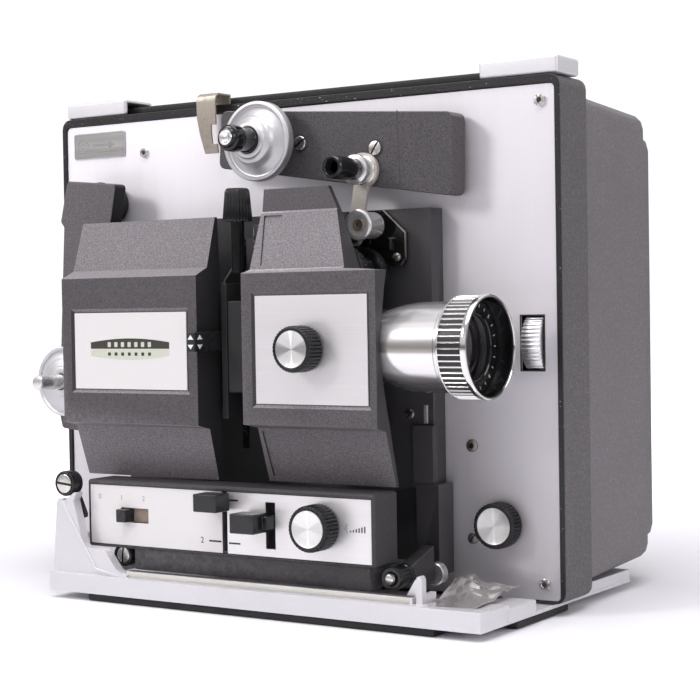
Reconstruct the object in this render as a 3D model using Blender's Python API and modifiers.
"""Film projector for 8 mm film, carrying-case style, closed for storage.

Frame: +X to the right of the operator's side, +Y towards the back of the case, +Z up.
The front plate's inner layout starts at Y = 0, X = 0 is its middle, Z = 0 is the table.
All helper arguments are millimetres and degrees; objects are written in metres.
A shape made with a material is a piece; one made without is a hidden boolean helper.
"""
import bpy
import bmesh
import math
from mathutils import Matrix, Vector

MM = 0.001

# ---------------------------------------------------------------- driving dimensions
# Names ending in _X, _Y or _Z hold a place or a (low, high) span on that axis.
# Half widths are measured from X = 0.
PLATE_HALF_X = 144.6
PLATE_Z = (6.5, 238.2)
PLATE_T = 1.5
PLATE_GAP = 0.3
RIM_HALF_X = 147.5
RIM_Z = (5.4, 242.4)
FRAME_BACK_Y = 27.0
SHELL_HALF_X = (146.2, 143.6)               # front end, back end
SHELL_Y = (27.3, 102.0)
SHELL_Z = ((10.2, 236.3), (12.6, 232.8))    # front end, back end
BACK_HALF_X = 139.0
BACK_Y = (102.3, 120.0)
BACK_Z = (19.0, 225.0)
CASE_WALL = 2.6
BASE_X = (-99.2, 141.6)
BASE_Y = (-69.0, 82.0)
BASE_Z0 = 3.5
FOOT_X = 135
FOOT_Y = 8

# Axes along X, as the point where they cross X = 0
LENS_Y = -35.0
LENS_Z = 121.6
LENS_AXIS = (0, LENS_Y, LENS_Z)
SHAFT_Y = 11.5
SHAFT_Z = 122.5
MOTOR_Y = 62.0
MOTOR_Z = 70.0

WHEEL_R = 15.0
SHUTTER_X = -20.6
SHUTTER_R = 49
PULLEY_X = 45
GROOVE_R = 7.6
MOTOR_GROOVE_R = 3.2
FLANGE = 1.6

# Axes along Y, as (X, Z)
SUPPLY_PIVOT = (87.0, 205.0)
SUPPLY_HUB = (0.8, 219.7)
TAKEUP_PIVOT = (-112.0, 196.0)
TAKEUP_HUB = (-128.0, 103.6)
SNUB_PIVOT = (60.2, 177.4)
SNUB_TIP = (54.2, 203.4)
SNUB_LINK_PIVOT = (49.0, 172.0)
FOCUS_KNOB = (46.9, LENS_Z)
SPEED_KNOB = (54.4, 41.9)
TILT_KNOB = (115.7, 39.8)
GUIDE_ROLLER = (87.7, 20.1)
SPROCKETS = {"upper": (54, 155), "lower": (54, 88)}

COVER_FACE_Y = -57.0
COVER_BACK_Y = -38.5
COVER_WALL = 2.2

for old in list(bpy.data.objects):
    bpy.data.objects.remove(old, do_unlink=True)

scene = bpy.context.scene
PARTS = bpy.data.collections.new("film_projector")
CUTS = bpy.data.collections.new("cutters")
scene.collection.children.link(PARTS)
scene.collection.children.link(CUTS)


# ---------------------------------------------------------------- materials
def material(name, rgb, roughness, metallic=0.0, transmission=0.0):
    mat = bpy.data.materials.new(name)
    mat.use_nodes = True
    inputs = mat.node_tree.nodes["Principled BSDF"].inputs
    inputs["Base Color"].default_value = (*rgb, 1.0)
    inputs["Metallic"].default_value = metallic
    inputs["Roughness"].default_value = roughness
    inputs["Transmission Weight"].default_value = transmission
    return mat


ALUMINIUM = material("brushed_aluminium", rgb=(0.72, 0.71, 0.70), roughness=0.38, metallic=1.0)
CASTING = material("silver_casting", rgb=(0.66, 0.65, 0.66), roughness=0.42, metallic=0.9)
CHARCOAL = material("charcoal_case", rgb=(0.085, 0.080, 0.085), roughness=0.6)
SPECKLED = material("speckled_charcoal", rgb=(0.10, 0.095, 0.10), roughness=0.62)
ENAMEL = material("black_enamel", rgb=(0.012, 0.012, 0.013), roughness=0.4)
PLASTIC = material("black_plastic", rgb=(0.015, 0.015, 0.016), roughness=0.33)
CHROME = material("polished_chrome", rgb=(0.82, 0.82, 0.83), roughness=0.12, metallic=1.0)
NICKEL = material("nickel", rgb=(0.55, 0.52, 0.46), roughness=0.3, metallic=1.0)
RUBBER = material("black_rubber", rgb=(0.02, 0.02, 0.02), roughness=0.8)
CREAM = material("cream_panel", rgb=(0.80, 0.76, 0.72), roughness=0.4, metallic=0.2)
GLASS = material("coated_glass", rgb=(0.5, 0.55, 0.5), roughness=0.05, transmission=1.0)
STEEL = material("ground_steel", rgb=(0.6, 0.6, 0.6), roughness=0.3, metallic=1.0)


# ---------------------------------------------------------------- points and outlines
def at(place, y=0.0):
    """Puts an (X, Z) place at depth y."""
    return (place[0], y, place[1])


def polar(centre, radius, angle):
    """Point on a circle, angle in radians."""
    return (centre[0] + radius * math.cos(angle), centre[1] + radius * math.sin(angle))


def circle(centre, radius, count=12):
    return [polar(centre, radius, math.tau * k / count) for k in range(count)]


def signed_area(points):
    """Twice the enclosed area, positive when counter-clockwise."""
    following = points[1:] + points[:1]
    return sum(p[0] * q[1] - q[0] * p[1] for p, q in zip(points, following))


def rounded_rect(a0, a1, b0, b1, radius, steps):
    corners = ((a1 - radius, b1 - radius), (a0 + radius, b1 - radius),
               (a0 + radius, b0 + radius), (a1 - radius, b0 + radius))
    return [polar(centre, radius, math.radians(90 * (i + k / steps)))
            for i, centre in enumerate(corners) for k in range(steps + 1)]


def rounded_poly(points, radius, steps):
    """Replaces every corner of a polygon by a quadratic curve of steps + 1 points."""
    out = []
    for i, point in enumerate(points):
        corner = Vector(point)
        before = Vector(points[i - 1]) - corner
        after = Vector(points[(i + 1) % len(points)]) - corner
        reach = min(radius / math.tan(before.angle(after) / 2),
                    before.length * 0.45, after.length * 0.45)
        start = corner + before.normalized() * reach
        end = corner + after.normalized() * reach
        for k in range(steps + 1):
            t = k / steps
            out.append(tuple(start * (1 - t) ** 2 + corner * 2 * t * (1 - t) + end * t ** 2))
    return out


def inset(points, width):
    """Moves every side of a polygon inwards by width."""
    sign = 1.0 if signed_area(points) > 0 else -1.0
    out = []
    for i, point in enumerate(points):
        corner = Vector(point)
        before = (corner - Vector(points[i - 1])).normalized()
        after = (Vector(points[(i + 1) % len(points)]) - corner).normalized()
        normal0 = Vector((-before.y, before.x)) * sign
        normal1 = Vector((-after.y, after.x)) * sign
        out.append(tuple(corner + (normal0 + normal1) * (width / (1 + normal0.dot(normal1)))))
    return out


def bar(start, end, start_width, end_width):
    """Corners of a bar that runs half a width past each of its two points."""
    start = Vector(start)
    end = Vector(end)
    along = (end - start).normalized()
    side = Vector((-along.y, along.x))
    half0 = start_width / 2
    half1 = end_width / 2
    return [tuple(start + side * half0 - along * half0), tuple(start - side * half0 - along * half0),
            tuple(end - side * half1 + along * half1), tuple(end + side * half1 + along * half1)]


# ---------------------------------------------------------------- solids
def axis_matrix(axis):
    """Turns local +Z onto the named axis."""
    if axis == "X":
        return Matrix(((0, 0, 1), (1, 0, 0), (0, 1, 0))).to_4x4()
    if axis == "Y":
        return Matrix(((0, 1, 0), (0, 0, 1), (1, 0, 0))).to_4x4()
    return Matrix.Identity(4)


def add(name, bm, loc, mat=None):
    """Writes the bmesh as a piece, or as a hidden cut_ helper if it has no material."""
    if mat is None:
        name = "cut_" + name
    mesh = bpy.data.meshes.new(name)
    bmesh.ops.recalc_face_normals(bm, faces=bm.faces)
    bm.to_mesh(mesh)
    bm.free()
    ob = bpy.data.objects.new(name, mesh)
    ob.location = Vector(loc) * MM
    if mat is None:
        CUTS.objects.link(ob)
        ob.hide_render = True
        ob.display_type = "WIRE"
    else:
        PARTS.objects.link(ob)
        mesh.shade_smooth()
        mesh.set_sharp_from_angle(angle=math.radians(35))
        mesh.materials.append(mat)
    return ob


def box(name, x, y, z, mat=None, origin=None):
    """Box over three (low, high) spans, its origin in its centre unless given."""
    centre = Vector((sum(x) / 2, sum(y) / 2, sum(z) / 2))
    origin = Vector(origin) if origin else centre
    size = Vector((x[1] - x[0], y[1] - y[0], z[1] - z[0])) * MM
    bm = bmesh.new()
    bmesh.ops.create_cube(bm, size=1.0)
    for v in bm.verts:
        v.co = v.co * size.to_3d() if False else Vector(
            [c * s for c, s in zip(v.co, size)]) + (centre - origin) * MM
    return add(name, bm, origin, mat)


def rod(name, axis, start, length, radius, seg=24):
    """Helper cylinder from start along +axis."""
    bm = bmesh.new()
    bmesh.ops.create_cone(bm, cap_ends=True, segments=seg, radius1=radius * MM,
                          radius2=radius * MM, depth=length * MM)
    bmesh.ops.translate(bm, verts=bm.verts, vec=(0, 0, length * MM / 2))
    bmesh.ops.transform(bm, matrix=axis_matrix(axis), verts=bm.verts)
    return add(name, bm, start)


def turned(name, axis, origin, profile, mat, steps=32, closed=False):
    """Screw of a (radius, distance along axis) profile about the axis through origin."""
    points = profile if signed_area(profile) < 0 else profile[::-1]
    edges = [(i, i + 1) for i in range(len(points) - 1)]
    if closed:
        edges.append((len(points) - 1, 0))
    mesh = bpy.data.meshes.new(name)
    mesh.from_pydata([(radius * MM, 0.0, along * MM) for radius, along in points], edges, [])
    mesh.materials.append(mat)
    ob = bpy.data.objects.new(name, mesh)
    PARTS.objects.link(ob)
    ob.matrix_world = Matrix.Translation(Vector(origin) * MM) @ axis_matrix(axis)
    screw = ob.modifiers.new("turn", "SCREW")
    screw.axis = "Z"
    screw.angle = math.tau
    screw.steps = steps
    screw.render_steps = steps
    screw.use_merge_vertices = True
    screw.merge_threshold = 0.00001
    screw.use_smooth_shade = False
    return ob


def outline(name, axis, points, lo, hi, mat=None, origin=(0, 0, 0), holes=()):
    """Outline extruded from lo to hi: (Y, Z) points along X or (X, Z) points along Y."""
    origin = Vector(origin)
    curve = bpy.data.curves.new(name + "_curve", "CURVE")
    curve.dimensions = "2D"
    curve.fill_mode = "BOTH"
    curve.extrude = (hi - lo) / 2 * MM
    for loop in [points, *holes]:
        spline = curve.splines.new("POLY")
        spline.points.add(len(loop) - 1)
        for point, (a, b) in zip(spline.points, loop):
            if axis == "Y":
                point.co = ((b - origin.z) * MM, (a - origin.x) * MM, 0, 1)
            else:
                point.co = ((a - origin.y) * MM, (b - origin.z) * MM, 0, 1)
        spline.use_cyclic_u = True
    temp = bpy.data.objects.new(name + "_tmp", curve)
    scene.collection.objects.link(temp)
    bpy.context.view_layer.update()
    graph = bpy.context.evaluated_depsgraph_get()
    mesh = bpy.data.meshes.new_from_object(temp.evaluated_get(graph))
    bpy.data.objects.remove(temp, do_unlink=True)
    bm = bmesh.new()
    bm.from_mesh(mesh)
    bmesh.ops.remove_doubles(bm, verts=bm.verts, dist=0.000002)
    middle = (lo + hi) / 2 - (origin.y if axis == "Y" else origin.x)
    bmesh.ops.translate(bm, verts=bm.verts, vec=(0, 0, middle * MM))
    bmesh.ops.transform(bm, matrix=axis_matrix(axis), verts=bm.verts)
    bmesh.ops.dissolve_limit(bm, angle_limit=math.radians(0.5), verts=bm.verts, edges=bm.edges)
    return add(name, bm, origin, mat)


def edge_round(ob, width, seg, angle=50):
    bevel = ob.modifiers.new("round", "BEVEL")
    bevel.width = width * MM
    bevel.segments = seg
    bevel.limit_method = "ANGLE"
    bevel.angle_limit = math.radians(angle)
    bevel.harden_normals = False
    return ob


def boolean(ob, operation, tools):
    for tool in tools:
        mod = ob.modifiers.new(operation.lower(), "BOOLEAN")
        mod.operation = operation
        mod.object = tool
        mod.solver = "EXACT"


def cut(ob, *tools):
    boolean(ob, "DIFFERENCE", tools)


def join(ob, *tools):
    boolean(ob, "UNION", tools)


def knob(name, place, cap_y, back_y, stem_y):
    """Knob with its cap towards -Y and a stem running back; origin in its back face."""
    radius = 10.6
    cap = cap_y - back_y
    stem = stem_y - back_y
    turned(name, "Y", at(place, back_y),
           [(0, cap), (radius - 1.6, cap), (radius - 0.4, cap + 0.8), (radius, -1.0),
            (radius, 0), (2.6, 0), (2.6, stem), (0, stem)], PLASTIC, 28)


# ---------------------------------------------------------------- front plate and frame
SHUTTER_SLOT_X = (SHUTTER_X - 2, SHUTTER_X + 2)
SHUTTER_SLOT_Z = (SHAFT_Z - SHUTTER_R - 2.5, SHAFT_Z + SHUTTER_R + 2.5)

front_plate = outline("front_plate", "Y",
                      rounded_rect(-PLATE_HALF_X, PLATE_HALF_X, *PLATE_Z, 2.2, 3),
                      0.0, PLATE_T, ALUMINIUM)
cut(front_plate,
    box("wheel_slot", (126.4, 138.2), (-3, 5), (SHAFT_Z - 12.4, SHAFT_Z + 12.4)),
    box("plate_shutter_slot", SHUTTER_SLOT_X, (-3, 5), SHUTTER_SLOT_Z),
    rod("supply_bore", "Y", at(SUPPLY_PIVOT, -3), 8, 6.4),
    rod("takeup_bore", "Y", at(TAKEUP_PIVOT, -3), 8, 6.4),
    rod("tilt_bore", "Y", at(TILT_KNOB, -3), 8, 3.4, seg=16))

case_front_frame = outline("case_front_frame", "Y",
                           rounded_rect(-RIM_HALF_X, RIM_HALF_X, *RIM_Z, 5.2, 4),
                           -1.0, FRAME_BACK_Y, CHARCOAL)
opening_half_x = PLATE_HALF_X + PLATE_GAP
cut(case_front_frame,
    outline("frame_opening", "Y",
            rounded_rect(-opening_half_x, opening_half_x,
                         PLATE_Z[0] - PLATE_GAP, PLATE_Z[1] + PLATE_GAP, 2.4, 3),
            -4, FRAME_BACK_Y - CASE_WALL),
    outline("frame_back", "Y", rounded_rect(-139, 139, 17, 229, 6.0, 2),
            FRAME_BACK_Y - 6, FRAME_BACK_Y + 3),
    rod("frame_stem_bore", "Z", (FOOT_X, FOOT_Y, 2), 10, 3.4, seg=16))


# ---------------------------------------------------------------- main shell
def tapered_case(name, half_x, z, y, radius, mat=None):
    """Rounded prism along Y; half_x and z each give the front end, then the back end."""
    front = rounded_rect(-half_x[0], half_x[0], *z[0], radius, 3)
    ob = outline(name, "Y", front, *y, mat)
    middle_y = sum(y) / 2 * MM
    front_mid_z = sum(z[0]) / 2 * MM
    back_mid_z = sum(z[1]) / 2 * MM
    scale_x = half_x[1] / half_x[0]
    scale_z = (z[1][1] - z[1][0]) / (z[0][1] - z[0][0])
    for v in ob.data.vertices:
        if v.co.y > middle_y:
            v.co.x *= scale_x
            v.co.z = back_mid_z + (v.co.z - front_mid_z) * scale_z
    return ob


main_shell = tapered_case("main_shell", SHELL_HALF_X, SHELL_Z, SHELL_Y, 8.0, CHARCOAL)
edge_round(main_shell, 2.0, 2)
cut(main_shell,
    tapered_case("shell_hollow", [half - CASE_WALL for half in SHELL_HALF_X],
                 [(lo + CASE_WALL, hi - CASE_WALL) for lo, hi in SHELL_Z],
                 (SHELL_Y[0] - 1.0, SHELL_Y[1] - 3.0), 6.0),
    box("shell_back_opening", (-131, 131), (90, 110), (28, 216)))

# ---------------------------------------------------------------- back cover
VENT_COUNT = 6
VENT_Z0 = 120
VENT_PITCH = 12
VENT_HEIGHT = 5

back_cover = outline("back_cover", "Y",
                     rounded_rect(-BACK_HALF_X, BACK_HALF_X, *BACK_Z, 9.0, 3),
                     *BACK_Y, CHARCOAL)
edge_round(back_cover, 3.0, 2)
cut(back_cover,
    box("back_cover_hollow", (-BACK_HALF_X + CASE_WALL, BACK_HALF_X - CASE_WALL),
        (BACK_Y[0] - 1, BACK_Y[1] - CASE_WALL), (BACK_Z[0] + CASE_WALL, BACK_Z[1] - CASE_WALL)))
for i in range(VENT_COUNT):
    vent_z = VENT_Z0 + VENT_PITCH * i
    cut(back_cover, box("vent_%d" % i, (-110, -30), (110, 125), (vent_z, vent_z + VENT_HEIGHT)))
cut(back_cover, box("inlet_opening", (72, 104), (110, 125), (36, 60)))

power_inlet = box("power_inlet", (72.4, 103.6), (106, 121.5), (36.4, 59.6), ENAMEL)
cut(power_inlet, box("inlet_well", (76, 100), (109, 125), (40, 56)))

# ---------------------------------------------------------------- base
# (X, Z) outlines
UPRIGHT = [
    (-98.9, 4.4), (-98.9, 15.0), (-96.4, 46.6), (-95.2, 48.0), (-91.0, 47.6), (-87.6, 49.8),
    (-85.0, 51.7), (-83.4, 51.4), (-85.6, 47.6), (-82.2, 36.0), (-80.2, 27.0), (-78.4, 25.2),
    (-67.6, 24.8), (-65.2, 23.6), (-61.6, 19.0), (-59.0, 15.8), (-56.0, 14.2), (-52.4, 13.6),
    (-52.4, 4.4)]
POST = [(107.0, 4.6), (107.0, 22.6), (107.5, 23.9), (108.5, 24.4), (109.4, 23.9),
        (109.9, 22.6), (109.9, 4.6)]
FIN = [(100.6, 4.7), (100.6, 14.6), (105.4, 22.4), (108.2, 22.4), (108.2, 4.7)]
RAIL_Y = (29, BASE_Y[1])
RAIL_Z = (4.4, 9.6)

base_casting = box("base_casting", BASE_X, BASE_Y, (BASE_Z0, 5.1), CASTING)
base_right_block = box("base_right_block", (126.0, BASE_X[1] + 0.9), (-45.0, -19.5), (4.3, 10.6))
edge_round(base_right_block, 0.8, 2, angle=40)
join(base_casting,
     box("base_front_bar", BASE_X, (BASE_Y[0], -60.5), (4.5, 12.4)),
     box("base_right_pad", (101.0, BASE_X[1]), (-61.5, -44.0), (4.5, 11.7)),
     base_right_block,
     outline("base_upright", "Y", UPRIGHT, -66.0, -61.0),
     box("base_rail", (-53.5, 105.9), (-64.5, -60.8), (11.8, 15.2)),
     outline("base_post", "Y", POST, -62.9, -59.2),
     outline("base_fin", "Y", FIN, -60.9, -59.4),
     box("base_post_rib", (107.2, 109.7), (-60.2, -50.4), (4.6, 16.2)),
     box("base_right_rail", (118, BASE_X[1] - 0.2), RAIL_Y, RAIL_Z),
     box("base_left_rail", (BASE_X[0] + 0.2, -80), RAIL_Y, RAIL_Z))
cut(base_casting, rod("foot_stem_bore", "Z", (FOOT_X, FOOT_Y, 0), 12, 3.4, seg=16))

box("base_pad", (-75.6, 118.0), (-67.5, 78.0), (0.0, 3.2), RUBBER)
elevating_foot = box("elevating_foot", (FOOT_X - 6.5, FOOT_X + 6.5), (-36, 14), (0.4, 3.2),
                     RUBBER, origin=(FOOT_X, FOOT_Y, 3.2))
join(elevating_foot, rod("foot_stem", "Z", (FOOT_X, FOOT_Y, 2.0), 36, 3.0, seg=16))


# ---------------------------------------------------------------- carrying handle
def handle_sleeve(name, x, open_x):
    """Hollow sleeve on the case top; the strap slides in at its open end."""
    ob = box(name, x, (-0.8, 22.0), (242.7, 250.6), CASTING)
    edge_round(ob, 1.2, 2)
    cut(ob, box(name + "_well", open_x, (1.6, 19.6), (240, 248.9)))


handle_sleeve("handle_sleeve_left", (-144.0, -103.5), (-138, -95))
handle_sleeve("handle_sleeve_right", (107.0, 146.6), (100, 141))
box("handle_strap", (-134, 137), (6.5, 18.6), (243.0, 246.4), RUBBER)

# ---------------------------------------------------------------- spring catch over the top edge
CATCH_PIVOT = (-43.6, 3.3, 243.9)
# (Y, Z) of the bent strip: outer side, then inner side
CATCH_STRIP = [
    (3.9, 243.1), (3.9, 248.0), (-6.4, 248.0), (-8.6, 246.6), (-9.4, 243.5), (-9.0, 228),
    (-7.4, 217.9),
    (-6.4, 217.9), (-7.9, 228), (-8.3, 243.3), (-7.8, 245.8), (-6.0, 246.9), (2.8, 246.9),
    (2.8, 243.1)]

cover_catch = outline("cover_catch", "X", CATCH_STRIP, -49.4, -37.6, NICKEL, origin=CATCH_PIVOT)
cut(cover_catch,
    outline("catch_left", "Y", [(-60, 236), (-49.5, 236), (-45.4, 215), (-60, 215)], -20, 0),
    box("catch_notch", (-40.6, -30), (-20, 0), (222.5, 232)))

outline("label_plaque", "Y", rounded_rect(-139.2, -104.2, 220.9, 234.3, 1.0, 2),
        -0.9, -0.2, ALUMINIUM)

# ---------------------------------------------------------------- mechanism plate behind covers
MECH_FRONT_Y = -11.3    # back ends of the parts that stand on the plate

mechanism_plate = box("mechanism_plate", (-95.6, 86.6), (-11.0, -0.3), (22, 185), ENAMEL)
cut(mechanism_plate, box("mech_back_pocket", (-92.6, 83.6), (-8.0, 3.0), (25, 182)))
join(mechanism_plate,
     box("mech_lower_block", (78.5, 90.4), (-14.0, -0.8), (16.4, 58)),
     rod("roller_pin", "Y", at(GUIDE_ROLLER, -53.5), 41, 2.4, seg=16),
     box("mech_flange", (76.5, 87.3), (-13.4, -9.4), (56.5, 84.7)))
cut(mechanism_plate,
    box("mech_shutter_slot", SHUTTER_SLOT_X, (-15, 3), SHUTTER_SLOT_Z),
    *[rod(level + "_sprocket_bore", "Y", at(place, -15), 12, 3.4, seg=16)
      for level, place in SPROCKETS.items()])

# ---------------------------------------------------------------- film gate
APERTURE_Y = (LENS_Y - 3.2, LENS_Y + 3.2)

film_gate = box("film_gate", (-9.6, -6.3), (-44, MECH_FRONT_Y), (88, 152), STEEL)
cut(film_gate, box("aperture", (-12, -4), APERTURE_Y, (LENS_Z - 2.4, LENS_Z + 2.4)))
pressure_plate = box("pressure_plate", (-5.3, 4.2), (-45, -24), (100.5, 143.7), ENAMEL)
edge_round(pressure_plate, 0.6, 1, angle=40)
cut(pressure_plate,
    box("pressure_aperture", (-8, 8), APERTURE_Y, (LENS_Z - 2.6, LENS_Z + 2.6)))

# ---------------------------------------------------------------- lamp house and lamp
LAMP_PROFILE = [(0, -84), (7.0, -84), (7.0, -74), (10.5, -70), (15.0, -62), (16.8, -52),
                (16.2, -52), (14.0, -61.5), (9.6, -68.6), (0, -71)]

lamp_house = box("lamp_house", (-90, -24), (-52.5, MECH_FRONT_Y), (92, 150), STEEL)
cut(lamp_house,
    box("lamp_house_hollow", (-88.6, -25.4), (-60, -12.7), (93.4, 148.6)),
    rod("light_port", "X", (-30, LENS_Y, LENS_Z), 10, 9.0))
turned("projection_lamp", "X", LENS_AXIS, LAMP_PROFILE, GLASS, 24)

# ---------------------------------------------------------------- lens carrier
lens_carrier = box("lens_carrier", (34, 70), (-50, -19), (105, 138.5), ENAMEL)
edge_round(lens_carrier, 1.0, 1, angle=40)
join(lens_carrier, box("carrier_foot", (40, 66), (-22, MECH_FRONT_Y), (108, 136)))
cut(lens_carrier, rod("carrier_bore", "X", (30, LENS_Y, LENS_Z), 46, 13.5, seg=32))

# ---------------------------------------------------------------- lamp and gate covers
BEYOND_FACE_Y = COVER_FACE_Y - 3            # helpers start here, clear of the cover faces
PLAQUE_Y = (COVER_FACE_Y + 0.4, COVER_FACE_Y + 0.9)
GATE_HINGE = (12.0, COVER_FACE_Y, LENS_Z)

# Front outlines are (X, Z), side profiles are (Y, Z).
LAMP_FRONT = [(-98.6, 183.8), (-15.2, 183.8), (-14.2, 156.0), (-14.2, 85.0),
              (-15.2, 58.3), (-97.6, 58.3), (-98.4, 85.0), (-98.4, 156.0)]
LAMP_SIDE = [(COVER_BACK_Y, 183.8), (-40.2, 183.8), (-48.2, 159.8), (COVER_FACE_Y, 156.0),
             (COVER_FACE_Y, 85.4), (-48.2, 83.4), (-40.4, 58.3), (COVER_BACK_Y, 58.3)]
GATE_FRONT = [
    (14.6, 195.4), (50.6, 195.4), (56.0, 184.2), (65.6, 157.4), (85.0, 156.2), (85.0, 86.6),
    (85.3, 59.4), (15.6, 59.4), (15.2, 84.8), (12.0, 86.6), (12.0, 156.2), (13.0, 157.4),
    (13.6, 184.2)]
GATE_SIDE = [
    (COVER_BACK_Y, 195.4), (-41.2, 195.4), (-41.4, 184.9), (-42.4, 184.0), (-51.4, 158.0),
    (COVER_FACE_Y, 156.2), (COVER_FACE_Y, 86.6), (-50.0, 84.8), (-42.0, 59.4),
    (COVER_BACK_Y, 59.4)]
GATE_SIDE_RELIEF = [
    (-47.6, 159.0), (-47.9, 155.0), (-49.9, 147.2), (-52.2, 134.1), (-52.6, 123.1),
    (-52.1, 109.9), (-50.3, 101.0), (-48.3, 93.0), (-45.8, 83.1), (-42.9, 71.7),
    (-40.2, 59.9), (-40.0, 57.0), (-35.0, 57.0), (-35.0, 162.0), (-47.0, 162.0)]
# (X, Y, Z) of the floor corners of two shallow strips in the gate cover's slopes
HOOD_STRIP = [(15.7, -41.9, 183.0), (25.7, -41.9, 183.0), (30.3, -50.2, 159.6),
              (18.8, -50.2, 159.6)]
WEDGE_STRIP = [(17.2, -48.8, 83.3), (21.0, -48.8, 83.3), (22.9, -42.0, 61.6),
               (18.6, -42.0, 61.6)]


def flared_pocket(name, x, z, flare):
    """Helper for the pocket in a cover's face, wider by flare per side at its front."""
    y_back = COVER_FACE_Y + 1.0
    y_front = COVER_FACE_Y - 0.4
    centre = Vector((sum(x) / 2, (y_back + y_front) / 2, sum(z) / 2))
    bm = bmesh.new()
    bmesh.ops.create_cube(bm, size=1.0)
    for v in bm.verts:
        front = v.co.y < 0
        grow = flare if front else 0.0
        v.co = Vector((math.copysign((x[1] - x[0]) / 2 + grow, v.co.x),
                       (y_front if front else y_back) - centre.y,
                       math.copysign((z[1] - z[0]) / 2 + grow, v.co.z))) * MM
    return add(name, bm, centre)


def sloped_strip(name, floor):
    """Helper from four floor corners straight forward past the cover's face."""
    bm = bmesh.new()
    corners = floor + [(x, BEYOND_FACE_Y, z) for x, _, z in floor]
    verts = [bm.verts.new(Vector(corner) * MM) for corner in corners]
    for face in ((0, 1, 2, 3), (4, 7, 6, 5), (0, 4, 5, 1),
                 (1, 5, 6, 2), (2, 6, 7, 3), (3, 7, 4, 0)):
        bm.faces.new([verts[i] for i in face])
    return add(name, bm, (0, 0, 0))


def shell_cover(name, front, side, pocket, origin=(0, 0, 0)):
    """Hollow cover: a front outline prism crossed with a side profile prism, open at the back."""
    x_lo = min(x for x, _ in front)
    x_hi = max(x for x, _ in front)
    back = max(y for y, _ in side)
    ob = outline(name, "Y", front, BEYOND_FACE_Y, COVER_BACK_Y + 0.02, SPECKLED, origin)
    boolean(ob, "INTERSECT", [outline(name + "_profile", "X", side, x_lo - 3, x_hi + 3)])
    # The hollow's back points move out past the cover's back, which leaves it open.
    inner_side = [(inner[0] + 3 * COVER_WALL if outer[0] > back - 0.01 else inner[0], inner[1])
                  for outer, inner in zip(side, inset(side, COVER_WALL))]
    hollow = outline(name + "_hollow", "Y", inset(front, COVER_WALL),
                     BEYOND_FACE_Y, COVER_BACK_Y + 6)
    boolean(hollow, "INTERSECT",
            [outline(name + "_inner", "X", inner_side, x_lo - 6, x_hi + 6)])
    cut(ob, hollow, pocket)
    return ob


shell_cover("lamp_cover", LAMP_FRONT, LAMP_SIDE,
            flared_pocket("lamp_pocket", (-91.2, -20.4), (101.6, 139.4), 2.2))
box("lamp_cover_plaque", (-90.8, -20.8), PLAQUE_Y, (102.0, 139.0), CREAM)

gate_cover = shell_cover("gate_cover", GATE_FRONT, GATE_SIDE,
                         flared_pocket("gate_pocket", (19.0, 80.7), (96.0, 146.1), 2.0),
                         origin=GATE_HINGE)
cut(gate_cover,
    rod("focus_bore", "Y", at(FOCUS_KNOB, -60), 10, 3.0, seg=16),
    rod("barrel_clearance", "X", (78, LENS_Y, LENS_Z), 12, 19.6, seg=32),
    outline("gate_side_relief", "X", GATE_SIDE_RELIEF, 72.9, 92.0),
    sloped_strip("hood_strip", HOOD_STRIP),
    sloped_strip("wedge_strip", WEDGE_STRIP))
gate_cover_plate = box("gate_cover_plate", (19.4, 80.3), PLAQUE_Y, (96.4, 145.7), ALUMINIUM,
                       origin=GATE_HINGE)
cut(gate_cover_plate, rod("focus_plate_bore", "Y", at(FOCUS_KNOB, -60), 10, 3.0, seg=16))

knob("focus_knob", FOCUS_KNOB, cap_y=-67.8, back_y=-57.3, stem_y=-52.5)

# ---------------------------------------------------------------- lens
turned("lens_barrel", "X", LENS_AXIS,
       [(11.0, 42), (13.1, 42), (13.1, 74), (14.6, 75), (16.8, 79), (18.4, 84), (19.6, 90),
        (20.2, 97), (20.2, 119.4), (16.0, 119.4), (16.0, 113.5), (11.0, 113.5)],
       CHROME, 40, closed=True)
turned("lens_ring", "X", LENS_AXIS,
       [(20.5, 115.2), (22.8, 115.2), (22.8, 127.6), (23.1, 128.0), (23.1, 130.0),
        (21.9, 130.0), (21.9, 119.8), (20.5, 119.8)], ENAMEL, 40, closed=True)
turned("lens_bezel", "X", LENS_AXIS,
       [(14.6, 119.9), (21.5, 119.9), (21.5, 122.4), (14.6, 121.6)], ENAMEL, closed=True)
turned("front_glass", "X", LENS_AXIS,
       [(0, 114.2), (15.6, 114.2), (15.6, 117.2), (12.0, 118.4), (6.5, 119.3), (0, 119.6)],
       GLASS)

# ---------------------------------------------------------------- film path
turned("film_framer", "Z", (-3.4, -38, 0),
       [(0, 157), (3.2, 157), (3.2, 181), (7.1, 181.6), (5.8, 196.4), (5.0, 197.0), (0, 197.0)],
       PLASTIC, 20)

LEVER_Z = (120.2, 129.4)
reverse_lever = box("reverse_lever", (-13.6, -11.0), (-62.6, -18), LEVER_Z, ENAMEL,
                    origin=(-12.3, -20, 124.8))
join(reverse_lever, box("lever_tab", (-16.0, -12.0), (-62.6, -58.7), LEVER_Z))

# Two rims with a waist between them, and a stem into the mechanism plate
SPROCKET_PROFILE = [
    (0, -38), (10.5, -38), (12.8, -37), (12.8, -33), (9.4, -32), (9.4, -22), (12.8, -21),
    (12.8, -17), (10.5, -15.5), (3.0, -15.5), (3.0, -5), (0, -5)]
for level, place in SPROCKETS.items():
    turned(level + "_sprocket", "Y", at(place), SPROCKET_PROFILE, ENAMEL, 24)

# ---------------------------------------------------------------- snubber
BRACKET = [(42, 184.6), (62.5, 184.6), (74.3, 174.0), (74.4, 162.0), (71.8, 158.8),
           (65.6, 158.8), (60.0, 164.0), (57, 167), (42, 167)]

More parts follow.
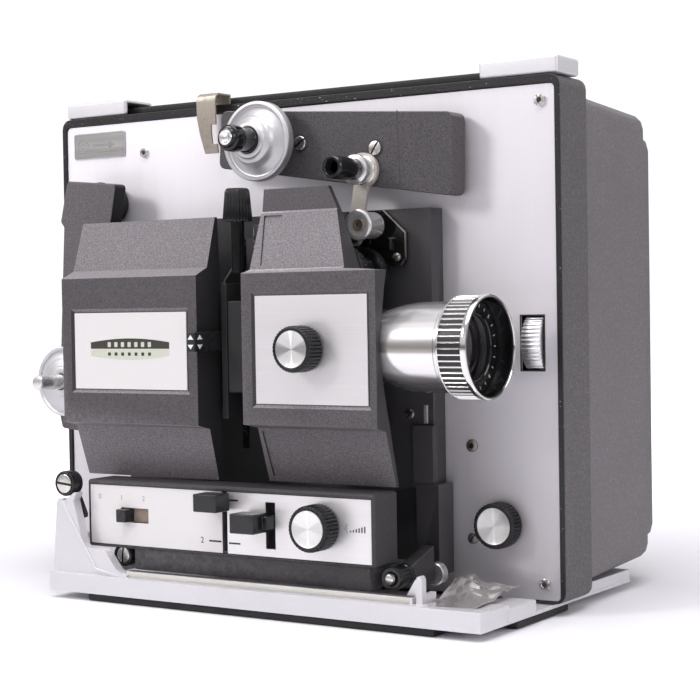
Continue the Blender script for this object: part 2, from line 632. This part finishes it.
snubber_bracket = outline("snubber_bracket", "Y", BRACKET, -12.8, MECH_FRONT_Y, ENAMEL)
join(snubber_bracket,
     rod("snubber_stud", "Y", at(SNUB_PIVOT, -30.6), 18.5, 2.4, seg=16),
     rod("snubber_pivot_pin", "Y", at(SNUB_LINK_PIVOT, -18.8), 6.9, 2.2, seg=16))

snubber_link = outline("snubber_link", "Y",
                       rounded_poly(bar(SNUB_LINK_PIVOT, SNUB_TIP, 7.4, 7.8), 3.4, 3),
                       -17.6, -16.0, CHROME, origin=at(SNUB_LINK_PIVOT, -17))
join(snubber_link,
     rod("snub_eye", "Y", at(SNUB_TIP, -17.8), 2.0, 8.2),
     rod("snub_boss", "Y", at(SNUB_TIP, -25.0), 8.9, 6.3),
     rod("snub_pin", "Y", at(SNUB_TIP, -41.0), 20, 2.8, seg=16))
cut(snubber_link, rod("snub_bore", "Y", at(SNUB_LINK_PIVOT, -22), 8, 2.5, seg=16))

turned("snubber_sleeve", "Y", at(SNUB_TIP),
       [(0, -44.2), (4.2, -44.2), (5.4, -43.0), (5.4, -25.4), (3.2, -25.4), (3.2, -41.4),
        (0, -41.4)], PLASTIC, 24)
turned("snubber_roller", "Y", at(SNUB_PIVOT),
       [(2.8, -32.0), (6.4, -32.0), (7.2, -31.4), (7.2, -29.6), (6.2, -29.0), (6.2, -18.6),
        (5.8, -17.9), (2.8, -17.9)], CHROME, 28, closed=True)

# ---------------------------------------------------------------- supply arm and hub
SUPPLY_ARM = [(-29.3, 237.4), (-31.5, 209.4), (100.4, 189.4), (101.2, 227.5)]

supply_arm = outline("supply_arm", "Y", rounded_poly(SUPPLY_ARM, 3.6, 3), -15.0, -3.0,
                     SPECKLED, origin=at(SUPPLY_PIVOT))
join(supply_arm,
     rod("supply_pivot", "Y", at(SUPPLY_PIVOT, -4), 16, 6.0),
     rod("supply_collar", "Y", at(SUPPLY_PIVOT, -4), 3.7, 11))
turned("supply_disc", "Y", at(SUPPLY_HUB),
       [(6.6, -35.0), (8.4, -35.0), (9.0, -33.6), (11.0, -32.8), (12.2, -29.6), (16.8, -27.0),
        (17.2, -28.6), (18.9, -28.6), (19.1, -28.2), (19.1, -23.4), (6.6, -23.4)],
       ALUMINIUM, 36, closed=True)
turned("supply_spindle", "Y", at(SUPPLY_HUB),
       [(0, -52.6), (3.4, -52.6), (3.9, -52.0), (3.9, -50.6), (6.0, -50.2), (6.2, -49.2),
        (6.2, -15.5), (0, -15.5)], PLASTIC, 24)

# ---------------------------------------------------------------- take-up arm and hub
TAKEUP_ARM = [
    (-127.7, 208.0), (-132.9, 186.6), (-130.6, 184.2), (-136.6, 87.0), (-134.6, 78.7),
    (-123.0, 77.6), (-117.0, 90.0), (-107.0, 172.0), (-97.6, 186.0), (-93.9, 204.8)]

takeup_arm = outline("takeup_arm", "Y", rounded_poly(TAKEUP_ARM, 2.0, 2), -20.0, -11.5,
                     SPECKLED, origin=at(TAKEUP_PIVOT))
join(takeup_arm,
     rod("takeup_pivot", "Y", at(TAKEUP_PIVOT, -12), 22, 6.0),
     rod("takeup_collar", "Y", at(TAKEUP_PIVOT, -12), 11.7, 10))
turned("takeup_disc", "Y", at(TAKEUP_HUB),
       [(4.4, -27.4), (7.4, -27.4), (8.2, -26.0), (11.4, -25.6), (12.0, -24.8), (16.2, -24.2),
        (16.6, -25.4), (18.2, -25.4), (18.2, -20.5), (4.4, -20.5)], ALUMINIUM, 36, closed=True)
turned("takeup_spindle", "Y", at(TAKEUP_HUB),
       [(0, -45.0), (3.1, -45.0), (3.8, -44.3), (3.8, -20.6), (0, -20.6)], CHROME, 20)

# ---------------------------------------------------------------- control box
SLOT_Y = (-60, -50)
PANEL_Y = (-57.6, -57.2)
PANEL_Z = (26.5, 55.2)

control_housing = box("control_housing", (-83.4, 83.2), (-58.0, -38.0), (24.9, 57.6), ENAMEL)
edge_round(control_housing, 1.0, 1)
cut(control_housing, box("housing_hollow", (-80.4, 80.4), (-54.6, -30.0), (27.4, 55.2)))
join(control_housing, box("lower_guide", (-55.0, 79.6), (-56.4, -38.5), (15.0, 26.0)))
cut(control_housing,
    box("panel_pocket", (-82.0, 81.7), (-60, -56.9), (26.2, 55.5)),
    box("switch_slot_h", (-62.4, -45.0), SLOT_Y, (37.5, 44.8)),
    box("format_slot_h", (-0.6, 2.0), SLOT_Y, (27.4, 55.2)),
    box("motion_slot_h", (24.1, 29.7), SLOT_Y, (30.0, 51.6)),
    rod("speed_bore_h", "Y", at(SPEED_KNOB, -60), 10, 3.2, seg=16))

control_panel_left = box("control_panel_left", (-81.7, -0.8), PANEL_Y, PANEL_Z, CREAM)
cut(control_panel_left, box("switch_slot_p", (-62.2, -45.2), SLOT_Y, (37.6, 44.7)))
control_panel_right = box("control_panel_right", (2.2, 81.4), PANEL_Y, PANEL_Z, ALUMINIUM)
cut(control_panel_right,
    box("motion_slot_p", (24.2, 29.6), SLOT_Y, (30.1, 51.5)),
    rod("speed_bore_p", "Y", at(SPEED_KNOB, -60), 10, 3.2, seg=16))

knob("speed_knob", SPEED_KNOB, cap_y=-68.3, back_y=-57.9, stem_y=-49.0)
box("motor_switch", (-61.8, -55.8), (-62.2, -52.0), (38.0, 44.2), PLASTIC)

LEVER_CAP_Y = (-70.2, -59.6)
format_lever = box("format_lever", (-8.1, 5.4), LEVER_CAP_Y, (46.7, 55.0), PLASTIC)
join(format_lever, box("format_neck", (-0.3, 1.7), (-61, -51.0), (48.4, 53.4)))
motion_lever = box("motion_lever", (12.8, 26.4), LEVER_CAP_Y, (38.0, 47.0), PLASTIC)
join(motion_lever, box("motion_neck", (24.6, 29.2), (-63.5, -51.0), (39.4, 45.6)))

# ---------------------------------------------------------------- film guide and tilt knob
guide_link = outline("guide_link", "Y",
                     rounded_poly(bar((-92.0, 55.4), (-84.2, 40.2), 5.0, 3.0), 1.0, 1),
                     -60.4, -58.4, ENAMEL)
join(guide_link, rod("guide_boss", "Y", (-92.0, -64.5, 55.6), 6.6, 5.8, seg=28))

turned("guide_roller", "Y", at(GUIDE_ROLLER),
       [(2.8, -52.0), (5.5, -52.0), (5.5, -40.0), (2.8, -40.0)], PLASTIC, 24, closed=True)

turned("tilt_knob", "Y", at(TILT_KNOB),
       [(0, -9.2), (9.0, -9.2), (10.2, -8.4), (10.6, -1.4), (10.6, -0.5), (3.0, -0.5),
        (3.0, 12.0), (0, 12.0)], PLASTIC, 28)

# ---------------------------------------------------------------- drive inside the case
SHAFT_AXIS = (0, SHAFT_Y, SHAFT_Z)
MOTOR_AXIS = (0, MOTOR_Y, MOTOR_Z)
SHAFT_YZ = (SHAFT_Y, SHAFT_Z)
MOTOR_YZ = (MOTOR_Y, MOTOR_Z)
SHAFT_R = 3.0
SHUTTER_NOTCH_R = 24
FAN_X = -54


def pulley(groove_r):
    """Profile of a flanged pulley centred on PULLEY_X."""
    rim = groove_r + FLANGE
    return [(radius, PULLEY_X + offset) for radius, offset in
            ((rim, -5), (rim, -4), (groove_r, -3), (groove_r, 3), (rim, 4), (rim, 5))]


def belt_loop(clearance, steps=10):
    """Open belt line that runs at a clearance from the bottoms of both grooves."""
    shaft_r = GROOVE_R + clearance
    motor_r = MOTOR_GROOVE_R + clearance
    span = Vector(MOTOR_YZ) - Vector(SHAFT_YZ)
    base = math.atan2(span.y, span.x)
    off = math.acos((shaft_r - motor_r) / span.length)
    return ([polar(SHAFT_YZ, shaft_r, base + off + (math.tau - 2 * off) * k / steps)
             for k in range(steps + 1)]
            + [polar(MOTOR_YZ, motor_r, base - off + 2 * off * k / steps)
               for k in range(steps + 1)])


turned("main_shaft", "X", SHAFT_AXIS,
       [(0, -32), (SHAFT_R, -32), (SHAFT_R, 40), *pulley(GROOVE_R), (SHAFT_R, 50),
        (SHAFT_R, 139.5), (0, 139.5)], STEEL, 28)
turned("inching_wheel", "X", SHAFT_AXIS,
       [(3.3, 127.3), (WHEEL_R - 0.8, 127.3), (WHEEL_R, 128.0), (WHEEL_R, 136.7),
        (WHEEL_R - 0.8, 137.4), (3.3, 137.4)], ALUMINIUM, 36, closed=True)

# Three 60 degree blades with a 60 degree notch after each
blades = [polar(SHAFT_YZ, radius, math.radians(120 * i + start + 10 * k))
          for i in range(3)
          for start, radius in ((0, SHUTTER_R), (60, SHUTTER_NOTCH_R))
          for k in range(7)]
outline("shutter_disc", "X", blades, SHUTTER_X - 0.5, SHUTTER_X + 0.5, ENAMEL,
        origin=(SHUTTER_X, SHAFT_Y, SHAFT_Z), holes=[circle(SHAFT_YZ, 3.3)])

turned("motor_housing", "X", MOTOR_AXIS,
       [(3.2, -17), (26, -17), (28, -15), (28, 24), (26, 26), (3.2, 26)],
       STEEL, 28, closed=True)
turned("motor_shaft", "X", MOTOR_AXIS,
       [(0, -66), (2.6, -66), (2.6, 40), *pulley(MOTOR_GROOVE_R), (0, 50)], STEEL, 20)

# Twelve blades, each as (degrees from its start, radius)
FAN_BLADE = ((0, 25), (10, 25), (14, 12), (26, 12))
fan = [polar(MOTOR_YZ, radius, math.radians(30 * i + turn))
       for i in range(12) for turn, radius in FAN_BLADE]
outline("cooling_fan", "X", fan, FAN_X - 8, FAN_X + 8, ENAMEL,
        origin=(FAN_X, MOTOR_Y, MOTOR_Z), holes=[circle(MOTOR_YZ, 2.9)])

outline("drive_belt", "X", belt_loop(1.7), PULLEY_X - 1.8, PULLEY_X + 1.8, RUBBER,
        holes=[belt_loop(0.35)])
edge_round(box("transformer", (-126, -84), (34, 96), (22, 66), STEEL), 2.0, 1)
